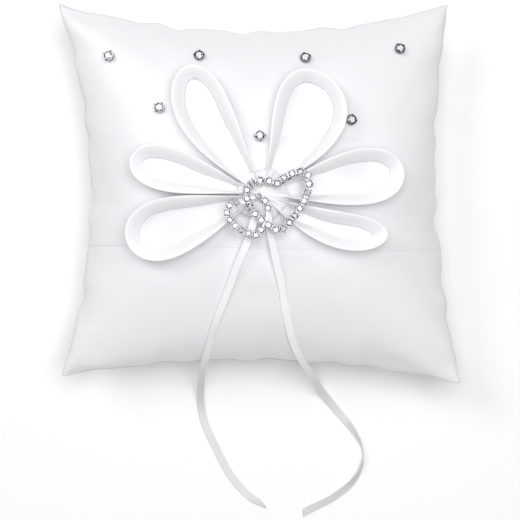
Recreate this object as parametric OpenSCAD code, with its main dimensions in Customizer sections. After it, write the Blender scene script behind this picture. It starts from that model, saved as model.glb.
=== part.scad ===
// Ring bearer pillow: a square stuffed satin cushion lying on its back, with a
// satin sash across the face, a six-loop ribbon bow, two ring-tie ribbons,
// an interlocked pair of rhinestone hearts and seven single crystals.
// Millimetres, +Z up. The origin is on the table, under the middle of the cushion.

/* [Cushion] */
// Half the width between the corners, left to right
half_x = 96; // [85:0.5:105]
// Half the depth between the corners, front to back
half_y = 91.5; // [85:0.5:105]
// How far the left and right sides pull in between the corners
side_pull = 12; // [4:0.5:18]
// How far the front and back sides pull in between the corners
end_pull = 11.5; // [4:0.5:18]
// Height of the edge seam above the table
seam_z = 27; // [22:0.5:32]
// Rise of the face above the seam
front_rise = 33; // [28:0.5:36]
// Drop of the back below the seam, before the table flattens it
back_rise = 33; // [28:0.5:36]
// Roundness of the crown: lower is plumper at the edge
crown_power = 0.6; // [0.5:0.02:0.8]
// Thickness of the satin cover with its lining
cover_t = 0.8; // [0.5:0.1:1.2]

/* [Corners, in the order back left, back right, front left, front right] */
// How far each corner is pushed to the right
corner_push_x = [-2, -4, -0.5, 2]; // [-5:0.5:5]
// How far each corner is pushed to the back
corner_push_y = [1.5, 0.5, 2.5, -0.5]; // [-5:0.5:5]

/* [Sash] */
// Width of the sash
sash_w = 53; // [30:1:80]
// Thickness of the sash satin
sash_t = 0.4; // [0.3:0.1:0.6]
// Angle of the sash across the face
sash_angle = -1.1; // [-3:0.1:3]

/* [Bow] */
// Length and width of the upper left loop
upper_left_size = [71, 26]; // [16:0.5:74]
// Length and width of the upper right loop
upper_right_size = [64.5, 35]; // [16:0.5:74]
// Length and width of the left loop
left_size = [64.5, 21]; // [16:0.5:74]
// Length and width of the lower left loop
lower_left_size = [67.5, 28.5]; // [16:0.5:74]
// Length and width of the right loop
right_size = [68, 26.5]; // [16:0.5:74]
// Length and width of the lower right loop
lower_right_size = [62, 17.5]; // [16:0.5:74]
// Height of a loop above the face, away from its root
loop_rise = 8.9; // [6:0.1:11]
// How far the top edge of a loop leans out over its bottom edge
loop_lean = 4.5; // [0:0.1:5]
// Radius of the gathered middle of the bow
knot_r = 6; // [5:0.1:6.2]

/* [Hearts] */
// Half the width of the large heart
large_w = 15; // [13:0.5:18]
// Stones round the large heart
large_count = 22; // [16:1:22]
// Half the width of the small heart
small_w = 9.5; // [9:0.5:11]
// Stones round the small heart
small_count = 16; // [12:1:16]
// Height of the hearts above the face
heart_lift = 7.6; // [7:0.1:9]

/* [Crystals and ribbons] */
// Diameter of a single crystal
crystal_d = 4; // [3:0.1:5]
// Width of a ring-tie ribbon
tie_w = 3.5; // [2.5:0.1:4]

/* [Hidden] */
$fn = 32;

satin = "white";
silver = "silver";
glass = "lightcyan";

// Shift of the cushion's middle against its corners
bulge_shift = [2.6, -2];
// Middle of the bow
bow_x = 1;
bow_y = -2;
// How far the covers dip at the edge seam
seam_groove = 0.4;
// How far the sash's centre line is shifted to the front
sash_shift = 0.2;
// Clear gaps: fill to cover, cover to sash, cover to bow
fill_gap = 0.8;
sash_gap = 0.3;
bow_gap = 1.2;

// Where the single crystals are sewn
crystal_places = [[-71.5, 65], [-29, 63.5], [21.5, 62.5], [66.5, 68],
    [-47, 39.5], [42.5, 33.5], [0, 25.5]];

// Routes of the two ribbon ends, from the bow over the front edge to the table
tie_left_route = [[-1.5, -9, 64], [-2.6, -13, 64], [-4, -18, 63.5], [-6, -24, 62.5],
    [-8.5, -30, 60.8], [-11.5, -37, 58], [-14.5, -45, 54.8], [-17.8, -53.5, 51.5],
    [-20.3, -60, 48.8], [-22.6, -66.5, 45.8], [-24.6, -73, 41.5], [-26.2, -79, 36],
    [-27.4, -83.5, 30], [-28.4, -87.5, 23], [-29.2, -92, 15], [-29.8, -97, 7.5],
    [-30, -102, 3], [-29.6, -107.5, 1], [-28.3, -114, 0.6], [-25.8, -120, 0.6],
    [-22.5, -127, 0.6], [-17.2, -137.5, 0.6], [-13.2, -143.5, 0.6], [-9.4, -148, 0.6],
    [-4, -152.8, 0.6], [1.5, -155.4, 0.6]];
tie_right_route = [[3, -9, 64], [3.8, -13, 64], [4.7, -18, 63.6], [5.7, -24, 62.6],
    [7.2, -31, 60.3], [9.2, -39.5, 57], [10.8, -47.5, 53.8], [12, -55.5, 50.8],
    [13.4, -62, 48], [14.9, -68.5, 44.6], [16.8, -74, 40.5], [19.2, -79, 35.8],
    [21.8, -83.5, 29.5], [24.4, -87.5, 22.5], [27.4, -92, 14.5], [30, -97, 7.5],
    [33.8, -102, 3], [38.4, -107.8, 1], [44.4, -115, 0.6], [49.5, -122.8, 0.8],
    [52, -129, 1.4], [52, -134, 1.6], [50.2, -139.5, 1.4], [47.5, -143.8, 1],
    [43.8, -147.6, 0.6], [39.3, -151, 0.6], [34.4, -154, 0.6], [25.1, -158.5, 0.6],
    [21.7, -160.3, 0.6]];

// ---- Cushion surfaces: u and v run from -1 to 1 over the square ----

// Value at (u, v) between four corner values
function blend4(c, u, v) =
    (c[0] * (1 - u) * (1 + v) + c[1] * (1 + u) * (1 + v)
    + c[2] * (1 - u) * (1 - v) + c[3] * (1 + u) * (1 - v)) / 4;

// Half width and half depth at (u, v), and how far the point is pushed over
function reach_x(v) = half_x - side_pull * (1 - v * v);
function reach_y(u) = half_y - end_pull * (1 - u * u);
function push_x(u, v) = blend4(corner_push_x, u, v) + bulge_shift[0] * (1 - v * v);
function push_y(u, v) = blend4(corner_push_y, u, v) + bulge_shift[1] * (1 - u * u);
function crown(u, v) = pow(max(0, 1 - u * u) * max(0, 1 - v * v), crown_power);

// Half the depth of the groove that the edge seam sinks into, a depth d under the surface
function groove(d) = seam_groove * max(0, 1 - d / cover_t);

// Points of the face and the back, a depth d under the outer surface
function face_point(u, v, d) =
    [u * (reach_x(v) - d) + push_x(u, v), v * (reach_y(u) - d) + push_y(u, v),
    seam_z + groove(d) + (front_rise - groove(d) - d) * crown(u, v)];
function back_point(u, v, d) =
    [u * (reach_x(v) - d) + push_x(u, v), v * (reach_y(u) - d) + push_y(u, v),
    max(d, seam_z - groove(d) - (back_rise - groove(d) - d) * crown(u, v))];

// The (u, v) of a plan position, found by repeated correction
function find_uv(x, y, uv = [0, 0], steps = 10) =
    steps == 0 ? uv
    : find_uv(x, y, [(x - push_x(uv[0], uv[1])) / reach_x(uv[1]),
        (y - push_y(uv[0], uv[1])) / reach_y(uv[0])], steps - 1);
function face_z(x, y) = let (uv = find_uv(x, y)) face_point(uv[0], uv[1], 0)[2];

// Upward unit normal of the face at a plan position
function face_normal(x, y) =
    let (e = 0.5,
        slope_x = (face_z(x + e, y) - face_z(x - e, y)) / (2 * e),
        slope_y = (face_z(x, y + e) - face_z(x, y - e)) / (2 * e))
    unit([-slope_x, -slope_y, 1]);

function unit(a) = a / norm(a);

// ---- Solids from grids and rings ----

// Closed solid between an upper and a lower grid of (nu + 1) by (nv + 1) points, with
// each cell cut along the diagonal that points to the nearest corner of the grid
module sheet_solid(upper, lower, nu, nv) {
    row = nv + 1;
    low = (nu + 1) * row;
    top_faces = [for (i = [0:nu - 1], j = [0:nv - 1])
        let (a = i * row + j, b = a + row, to_corner = (2 * i + 1 - nu) * (2 * j + 1 - nv) >= 0)
        each to_corner ? [[a, a + 1, b + 1], [a, b + 1, b]] : [[a, a + 1, b], [a + 1, b + 1, b]]];
    low_faces = [for (f = top_faces) [f[2] + low, f[1] + low, f[0] + low]];
    edge = concat([for (i = [0:nu - 1]) i * row],
        [for (j = [0:nv - 1]) nu * row + j],
        [for (i = [nu:-1:1]) i * row + nv],
        [for (j = [nv:-1:1]) j]);
    count = len(edge);
    rim_faces = [for (k = [0:count - 1]) let (a = edge[k], b = edge[(k + 1) % count])
        each [[a, b, b + low], [a, b + low, a + low]]];
    polyhedron(concat(upper, lower), concat(top_faces, low_faces, rim_faces), 10);
}

// Closed solid through a row of rings, each with the same number of points
module ring_solid(rings) {
    sides = len(rings[0]);
    last = len(rings) - 1;
    walls = [for (i = [0:last - 1], j = [0:sides - 1])
        let (a = i * sides + j, b = i * sides + (j + 1) % sides)
        each [[a, b, b + sides], [a, b + sides, a + sides]]];
    first_cap = [for (j = [1:sides - 2]) [0, j + 1, j]];
    last_cap = [for (f = first_cap) [f[0], f[2], f[1]] + last * sides * [1, 1, 1]];
    polyhedron([for (r = rings) each r], concat(walls, first_cap, last_cap), 10);
}

// Parameter spread that puts more rows near the seams
cover_rows = 26;
function spread(k, n) = sin(-90 + 180 * k / n);

// ---- Cushion ----

module front_cover() {
    n = cover_rows;
    color(satin) sheet_solid(
        [for (i = [0:n], j = [0:n]) face_point(spread(i, n), spread(j, n), 0)],
        [for (i = [0:n], j = [0:n]) face_point(spread(i, n), spread(j, n), cover_t)], n, n);
}

module back_cover() {
    n = cover_rows;
    color(satin) sheet_solid(
        [for (i = [0:n], j = [0:n]) back_point(spread(i, n), spread(j, n), cover_t)],
        [for (i = [0:n], j = [0:n]) back_point(spread(i, n), spread(j, n), 0)], n, n);
}

module fibre_fill() {
    n = 22;
    reach = 0.95;
    d = cover_t + fill_gap;
    color("snow") sheet_solid(
        [for (i = [0:n], j = [0:n]) face_point(reach * spread(i, n), reach * spread(j, n), d)],
        [for (i = [0:n], j = [0:n]) back_point(reach * spread(i, n), reach * spread(j, n), d)],
        n, n);
}

// Sewing thread that closes the cushion all round its edge
module edge_seam_thread() {
    thread_r = 0.35;
    steps = 18;
    side = [for (k = [0:steps - 1]) spread(k, steps)];
    around = concat([for (s = side) [s, -1]], [for (s = side) [1, s]],
        [for (s = side) [-s, 1]], [for (s = side) [-1, -s]]);
    path = [for (p = around) let (q = face_point(p[0], p[1], -thread_r - 0.1)) [q[0], q[1], seam_z]];
    count = len(path);
    sides = 6;
    points = [for (i = [0:count - 1])
        let (along = unit(path[(i + 1) % count] - path[(i + count - 1) % count]),
            out = [along[1], -along[0], 0])
        for (j = [0:sides - 1])
            path[i] + thread_r * (cos(60 * j) * out + sin(60 * j) * [0, 0, 1])];
    faces = [for (i = [0:count - 1], j = [0:sides - 1])
        let (next = ((i + 1) % count) * sides, a = i * sides + j, b = i * sides + (j + 1) % sides,
            c = next + (j + 1) % sides, d = next + j)
        each [[a, b, c], [a, c, d]]];
    color(satin) polyhedron(points, faces, 10);
}

// Band of satin across the face, caught in the seam at both ends
module sash() {
    across = 8;
    along = 30;
    reach = 0.996;
    color(satin) sheet_solid(
        [for (i = [0:along], j = [0:across])
            sash_point(reach * spread(i, along), 2 * j / across - 1, -sash_gap - sash_t)],
        [for (i = [0:along], j = [0:across])
            sash_point(reach * spread(i, along), 2 * j / across - 1, -sash_gap)],
        along, across);
}

// Point of the sash at u along it and w across it
function sash_point(u, w, d) = face_point(u, sash_v(u, w), d);
function sash_v(u, w, v = 0, steps = 6) =
    steps == 0 ? v
    : sash_v(u, w, (sash_y(u, v, w) - push_y(u, v)) / reach_y(u), steps - 1);
function sash_y(u, v, w) =
    w * sash_w / 2 + tan(sash_angle) * (u * reach_x(v) + push_x(u, v)) - sash_shift;

// ---- Bow ----

// Plan outline of a loop: a teardrop, a from 0 at the root through 180 at the tip. A
// larger taper is slimmer at the root, and bend moves the middle sideways.
function teardrop(a, size, taper, bend) =
    let (x = size[0] * (1 - cos(a)) / 2,
        peak = 2 * pow((1 + taper) / (2 + taper), (1 + taper) / 2) / sqrt(2 + taper))
    [x, size[1] / 2 / peak * sin(a) * pow(sin(a / 2), taper) + bend * sin(180 * x / size[0])];
function teardrop_normal(a, size, taper, bend) =
    let (t = teardrop(a + 1, size, taper, bend) - teardrop(a - 1, size, taper, bend))
    unit([-t[1], t[0]]);

// A ribbon standing on edge round a teardrop, leaning out away from the root
module bow_loop(angle, size, taper, bend) {
    root_r = 7;
    root_rise = 5;
    ribbon_t = 0.5;
    steps = 44;
    start = acos(1 - 2 * root_r / size[0]);
    color(satin) ring_solid([for (k = [0:steps])
        let (a = start + (360 - 2 * start) * k / steps,
            p = teardrop(a, size, taper, bend), n = teardrop_normal(a, size, taper, bend),
            open = pow(sin(90 * min(1, p[0] / size[0] / 0.6)), 2),
            lean = loop_lean * open,
            rise = root_rise + (loop_rise - root_rise) * open,
            foot = p - lean * n)
        [on_face(foot - n * ribbon_t / 2, angle, 0), on_face(foot + n * ribbon_t / 2, angle, 0),
        on_face(p + n * ribbon_t / 2, angle, rise, foot),
        on_face(p - n * ribbon_t / 2, angle, rise, foot)]]);
}

// A loop's own plan point, turned about the bow's middle, at a height over the face
// under the point itself or under another point
function turned(p, angle) =
    [bow_x + p[0] * cos(angle) - p[1] * sin(angle), bow_y + p[0] * sin(angle) + p[1] * cos(angle)];
function on_face(p, angle, rise, under = undef) =
    let (q = turned(p, angle), g = turned(is_undef(under) ? p : under, angle))
    [q[0], q[1], face_z(g[0], g[1]) + bow_gap + rise];

module bow_loop_upper_left() { bow_loop(121.5, upper_left_size, 1.35, 3.2); }
module bow_loop_upper_right() { bow_loop(64, upper_right_size, 1.6, -3.8); }
module bow_loop_left() { bow_loop(164.5, left_size, 1.9, 0); }
module bow_loop_lower_left() { bow_loop(198.5, lower_left_size, 1.7, 0.5); }
module bow_loop_right() { bow_loop(10, right_size, 1.6, 0.6); }
module bow_loop_lower_right() { bow_loop(-18.5, lower_right_size, 1.35, -4.2); }

// Gathered roots of the ribbon, stitched into a low dome
knot_h = 5.4;
bow_z = face_z(bow_x, bow_y) + bow_gap;
module bow_centre() {
    color(satin) translate([bow_x, bow_y, bow_z]) rotate_extrude()
        intersection() {
            square([knot_r, knot_h]);
            translate([0, -knot_r]) circle(r = knot_r + knot_h, $fn = 96);
        }
}

// Thread wound three times round the gathered roots
module gather_thread() {
    thread_r = 0.25;
    color(satin) for (k = [0:2])
        translate([bow_x, bow_y, bow_z + 1 + 0.6 * k]) rotate_extrude()
            translate([knot_r + thread_r + 0.05, 0]) circle(r = thread_r);
}

// ---- Ring-tie ribbons ----

// A flat ribbon along a route: eight-sided section, wide across and thin upwards
module tie_ribbon(route) {
    tie_t = 0.9;
    last = len(route) - 1;
    color(satin) ring_solid([for (i = [0:last])
        let (along = unit(route[min(i + 1, last)] - route[max(i - 1, 0)]),
            side = unit(cross(along, [0, 0, 1])), up = cross(side, along))
        [for (j = [0:7]) let (a = -22.5 - 45 * j)
            route[i] + tie_w / 2 / cos(22.5) * cos(a) * side
            + tie_t / 2 / cos(22.5) * sin(a) * up]]);
}

module tie_ribbon_left() { tie_ribbon(tie_left_route); }
module tie_ribbon_right() { tie_ribbon(tie_right_route); }

// ---- Hearts ----

// Outline of a heart: a circle whose sides are lifted in proportion to their width
function heart(a, w, shape) =
    let (y = w * shape[0] * (cos(a) + shape[1] * abs(sin(a)))) [w * sin(a) + shape[2] * y, y];

// Places spaced evenly along a closed outline given as points
function stone_places(outline, count) =
    let (n = len(outline),
        run = [for (i = 0, s = 0; i <= n;
            s = s + norm(outline[(i + 1) % n] - outline[i % n]), i = i + 1) s],
        x_at = [for (i = [0:n]) [run[i], outline[i % n][0]]],
        y_at = [for (i = [0:n]) [run[i], outline[i % n][1]]])
    [for (k = [0:count - 1]) let (s = run[n] * k / count) [lookup(s, x_at), lookup(s, y_at)]];

// Height over half width, lift of the sides, and sideways skew of each heart
large_shape = [0.737, 0.81, 0.165];
small_shape = [0.865, 0.51, -0.06];
large_angle = 12.7;
large_middle = [8.8, -7.9];
large_places = [for (p = stone_places(
    [for (a = [0:2:358]) heart(a, large_w, large_shape)], large_count))
    large_middle + [p[0] * cos(large_angle) - p[1] * sin(large_angle),
        p[0] * sin(large_angle) + p[1] * cos(large_angle)]];
small_angle = 17;
small_middle = [-4.4, -13.1];
small_places = [for (p = stone_places(
    [for (a = [0:2:358]) heart(a, small_w, small_shape)], small_count))
    small_middle + [p[0] * cos(small_angle) - p[1] * sin(small_angle),
        p[0] * sin(small_angle) + p[1] * cos(small_angle)]];

// The small heart leaves out a stone where the large heart crosses over it
large_cup_d = 3.8;
small_cup_d = 3.4;
function clear_of_large(p) =
    min([for (q = large_places) norm(p - q)]) > (large_cup_d + small_cup_d) / 2 + 0.1;
small_kept = [for (p = small_places) if (clear_of_large(p)) p];

heart_z = face_z(bow_x, bow_y) + heart_lift;
cup_h = 1.8;
cup_wall = 0.3;
cup_floor = 0.6;

// Open cups, one for each stone
module cups(places, cup_d) {
    for (p = places) translate([p[0], p[1], heart_z]) difference() {
        cylinder(d = cup_d, h = cup_h);
        translate([0, 0, cup_floor]) cylinder(d = cup_d - 2 * cup_wall, h = cup_h);
    }
}

// Bars from each place to the next, closing the heart
module links(places, z, bar_w, bar_h) {
    count = len(places);
    for (k = [0:count - 1])
        let (p = places[k], q = places[(k + 1) % count], run = q - p)
        translate([p[0], p[1], z]) rotate([0, 0, atan2(run[1], run[0])])
            translate([0, -bar_w / 2, 0]) cube([norm(run), bar_w, bar_h]);
}

large_link_w = 1.2;
module large_heart_frame() {
    color(silver) {
        cups(large_places, large_cup_d);
        links(large_places, heart_z, large_link_w, cup_floor - 0.1);
    }
}

// The small heart's bars pass under the large heart and carry its cups
module small_heart_frame() {
    bar_h = 0.7;
    color(silver) {
        cups(small_kept, small_cup_d);
        links(small_places, heart_z - bar_h, 1.4, bar_h);
        for (p = small_kept) translate([p[0], p[1], heart_z - bar_h])
            cylinder(d = 2, h = bar_h + 0.1);
    }
}

// Cut stone: a pointed back in the cup, a bevelled crown and a flat table, all in
// proportion to its diameter
crown_share = 0.22;
back_share = 0.3;
table_share = 0.55;
point_share = 0.3;
module stone(d) {
    cylinder(d1 = d, d2 = table_share * d, h = crown_share * d);
    translate([0, 0, -back_share * d])
        cylinder(d1 = point_share * d, d2 = d, h = back_share * d);
}

stone_gap = 0.1;
module heart_stones(places, cup_d) {
    d = cup_d - 2 * cup_wall - 2 * stone_gap;
    color(glass) for (p = places)
        translate([p[0], p[1], heart_z + cup_floor + stone_gap + back_share * d]) stone(d);
}

module large_heart_stones() { heart_stones(large_places, large_cup_d); }
module small_heart_stones() { heart_stones(small_kept, small_cup_d); }

// Sew-on shank between the bow's middle and the hearts
shank_d = 2.6;
module brooch_shank() {
    base_z = bow_z + knot_h;
    color(silver) translate([large_places[large_count - 3][0], large_places[large_count - 3][1], base_z])
        cylinder(d = shank_d, h = heart_z - base_z);
}

// ---- Single crystals ----

crystal_gap = 0.9;
crystal_wall = 0.35;
crystal_floor = 0.5;
crystal_cup_h = 1.9;

// Stands its children on the face, upright to the surface
module on_crown(place) {
    n = face_normal(place[0], place[1]);
    translate([place[0], place[1], face_z(place[0], place[1])])
        rotate([0, acos(n[2]), atan2(n[1], n[0])]) translate([0, 0, crystal_gap]) children();
}

// Round cup with four claws
module crystal_cup(place) {
    outer = crystal_d + 2 * (crystal_wall + stone_gap);
    claw = [0.7, 0.5, 0.7];
    color(silver) on_crown(place) {
        difference() {
            cylinder(d = outer, h = crystal_cup_h);
            translate([0, 0, crystal_floor])
                cylinder(d = crystal_d + 2 * stone_gap, h = crystal_cup_h);
        }
        for (a = [45:90:315]) rotate([0, 0, a])
            translate([outer / 2 - crystal_wall, -claw[1] / 2, crystal_cup_h - 0.1])
                cube([crystal_wall, claw[1], claw[2]]);
    }
}

module crystal(place) {
    color(glass) on_crown(place)
        translate([0, 0, crystal_floor + stone_gap + back_share * crystal_d]) stone(crystal_d);
}

back_cover();
front_cover();
fibre_fill();
edge_seam_thread();
sash();
bow_loop_upper_left();
bow_loop_upper_right();
bow_loop_left();
bow_loop_lower_left();
bow_loop_right();
bow_loop_lower_right();
bow_centre();
gather_thread();
tie_ribbon_left();
tie_ribbon_right();
large_heart_frame();
large_heart_stones();
small_heart_frame();
small_heart_stones();
brooch_shank();
for (k = [1:7]) {
    crystal_cup(crystal_places[k - 1]);
    crystal(crystal_places[k - 1]);
}
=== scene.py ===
import math
import bpy
import numpy as np
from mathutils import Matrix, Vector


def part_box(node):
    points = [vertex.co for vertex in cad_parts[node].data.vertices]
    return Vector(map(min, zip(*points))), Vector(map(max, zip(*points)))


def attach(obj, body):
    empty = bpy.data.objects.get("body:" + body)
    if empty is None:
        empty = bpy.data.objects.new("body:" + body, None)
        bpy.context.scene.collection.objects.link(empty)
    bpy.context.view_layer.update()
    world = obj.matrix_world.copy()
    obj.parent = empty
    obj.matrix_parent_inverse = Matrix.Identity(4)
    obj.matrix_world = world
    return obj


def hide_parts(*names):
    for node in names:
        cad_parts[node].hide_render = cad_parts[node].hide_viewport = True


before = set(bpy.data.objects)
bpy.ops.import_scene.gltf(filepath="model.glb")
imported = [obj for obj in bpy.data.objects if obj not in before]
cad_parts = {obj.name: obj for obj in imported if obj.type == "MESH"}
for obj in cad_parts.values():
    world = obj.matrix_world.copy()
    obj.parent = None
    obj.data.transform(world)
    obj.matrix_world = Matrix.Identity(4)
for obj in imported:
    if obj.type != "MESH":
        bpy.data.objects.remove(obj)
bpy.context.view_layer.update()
print("frame loaded")

# a soft white studio: a key from the back left, a wide top light, grey surroundings
studio = {
    "keyPlace": (-0.75, 0.55, 0.95), "keySize": 0.6, "keyPower": 4.3,
    "topPlace": (0.14, 0.12, 1.3), "topSize": 1.1, "topPower": 12.95,
    "skyTone": 0.8, "skyPower": 0.31, "floorTone": 0.97, "floorSize": 8.0,
    "cameraHeight": 0.8, "fieldWidth": 0.2548, "fieldMiddle": (0.0, -0.0323), "sensor": 36.0,
}


def aimAt(place, target):
    # turns that point an object's own -Z from place to target
    d = np.array(target) - np.array(place)
    return (math.acos(-d[2] / np.linalg.norm(d)), 0.0, math.atan2(d[1], d[0]) - math.pi / 2)


def areaLight(name, place, size, power):
    # round lamp that points at the middle of the cushion
    data = bpy.data.lights.new(name, "AREA")
    data.shape, data.size, data.energy = "DISK", size, power
    light = bpy.data.objects.new(name, data)
    light.location, light.rotation_euler = place, aimAt(place, (0, 0, 0.03))
    bpy.context.scene.collection.objects.link(light)


def makeStudio():
    # camera straight above, with a lens of sensor * height / field; two lamps and a grey sky
    low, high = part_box("front_cover")
    data = bpy.data.cameras.new("camera")
    data.sensor_width = studio["sensor"]
    data.lens = studio["sensor"] * studio["cameraHeight"] / studio["fieldWidth"]
    camera = bpy.data.objects.new("camera", data)
    camera.location = (*studio["fieldMiddle"], low[2] + studio["cameraHeight"])
    bpy.context.scene.collection.objects.link(camera)
    bpy.context.scene.camera = camera
    areaLight("keyLight", studio["keyPlace"], studio["keySize"], studio["keyPower"])
    areaLight("topLight", studio["topPlace"], studio["topSize"], studio["topPower"])
    world = bpy.data.worlds.new("studioSky")
    world.use_nodes = True
    sky = world.node_tree.nodes["Background"]
    sky.inputs["Color"].default_value = (*[studio["skyTone"]] * 3, 1)
    sky.inputs["Strength"].default_value = studio["skyPower"]
    bpy.context.scene.world = world
    bpy.context.scene.view_settings.view_transform = "Standard"


def gridFaces(rows, cols, loopRows=False, loopCols=False):
    # one quad between each four neighbours; a looped direction joins its last line to its first
    index = np.arange(rows * cols).reshape(rows, cols)
    index = np.vstack([index, index[:1]]) if loopRows else index
    index = np.hstack([index, index[:, :1]]) if loopCols else index
    corners = [index[:-1, :-1], index[1:, :-1], index[1:, 1:], index[:-1, 1:]]
    return np.stack(corners, axis=-1).reshape(-1, 4)


def newPiece(name, points, faces, uv=None, smooth=True):
    # points (k, 3) and faces as index rows; uv is one (u, v) in metres for each point
    mesh = bpy.data.meshes.new(name)
    mesh.from_pydata(np.asarray(points, float).reshape(-1, 3), [], [list(map(int, f)) for f in faces])
    mesh.update()
    if uv is not None:
        layer = mesh.uv_layers.new(name="cloth")
        corner = np.empty(len(mesh.loops), int)
        mesh.loops.foreach_get("vertex_index", corner)
        layer.data.foreach_set("uv", np.asarray(uv, float).reshape(-1, 2)[corner].ravel())
    mesh.polygons.foreach_set("use_smooth", np.full(len(mesh.polygons), smooth))
    piece = bpy.data.objects.new(name, mesh)
    bpy.context.scene.collection.objects.link(piece)
    return piece


def dress(piece, material, slotName, *nodes):
    # material, slot name (not used) and the CAD nodes that the piece stands for
    piece.data.materials.clear()
    piece.data.materials.append(material)
    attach(piece, "root")
    if nodes:
        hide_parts(*nodes)
    return piece


def thicken(piece, thickness, offset=0.0):
    # a sheet made solid, half to each side or all to one
    solid = piece.modifiers.new("thickness", "SOLIDIFY")
    solid.thickness, solid.offset = thickness, offset
    return piece


def unit(a):
    # each vector over its own length
    return a / np.maximum(np.linalg.norm(a, axis=-1, keepdims=True), 1e-12)


def acrossLines(count, margin=0.005):
    # even lines from -1 to 1 across a ribbon, with one more close beside each edge, so that
    # the smooth shading turns over at the very edge only
    return np.sort(np.append(np.linspace(-1, 1, count), [margin - 1, 1 - margin]))


def lineLength(points):
    # sum of the steps between neighbours
    return float(np.linalg.norm(np.diff(points, axis=0), axis=1).sum())


def curveThrough(points, steps):
    # Catmull-Rom curve through given points, resampled at even spacing along it
    p = np.vstack([2 * points[0] - points[1], points, 2 * points[-1] - points[-2]])
    t = np.linspace(0, 1, 24, endpoint=False)[:, None]
    spans = [0.5 * (2 * b + (c - a) * t + (2 * a - 5 * b + 4 * c - d) * t ** 2
             + (3 * b - a - 3 * c + d) * t ** 3) for a, b, c, d in zip(p, p[1:], p[2:], p[3:])]
    fine = np.vstack(spans + [points[-1:]])
    run = np.concatenate([[0], np.cumsum(np.linalg.norm(np.diff(fine, axis=0), axis=1))])
    even = np.linspace(0, run[-1], steps)
    return np.stack([np.interp(even, run, fine[:, k]) for k in range(3)], axis=1)


def smoothNoise(seed, size, waves):
    # sum of a few random sines along a line of this many points, between about -1 and 1
    rng = np.random.default_rng(seed)
    x = np.linspace(0, 2 * math.pi, size)
    return sum(np.sin(k * x + rng.uniform(0, 6.28)) * rng.uniform(0.5, 1) / k ** 0.5 for k in waves) \
        / max(1, len(waves)) ** 0.5


def newMaterial(name, color, roughness, **sockets):
    material = bpy.data.materials.new(name)
    material.use_nodes = True
    shader = material.node_tree.nodes["Principled BSDF"]
    shader.inputs["Base Color"].default_value = (*color, 1)
    shader.inputs["Roughness"].default_value = roughness
    for socket, value in sockets.items():
        shader.inputs[socket.replace("_", " ")].default_value = value
    return material, material.node_tree, shader


def addNode(tree, kind, **values):
    node = tree.nodes.new(kind)
    for key, value in values.items():
        if key in node.inputs:
            node.inputs[key].default_value = value
        else:
            setattr(node, key, value)
    return node


satinLook = {
    "sheenRoughness": 0.35, "specular": 0.55, "distortion": 0.6, "slubScale": (60, 1400, 1),
    "slubDetail": 3.0, "bumpStrength": 0.25, "bumpDepth": 0.00004, "patchScale": 25.0,
    "patchTone": 0.985, "glossBelow": 0.04, "glossAbove": 0.05,
}


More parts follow.
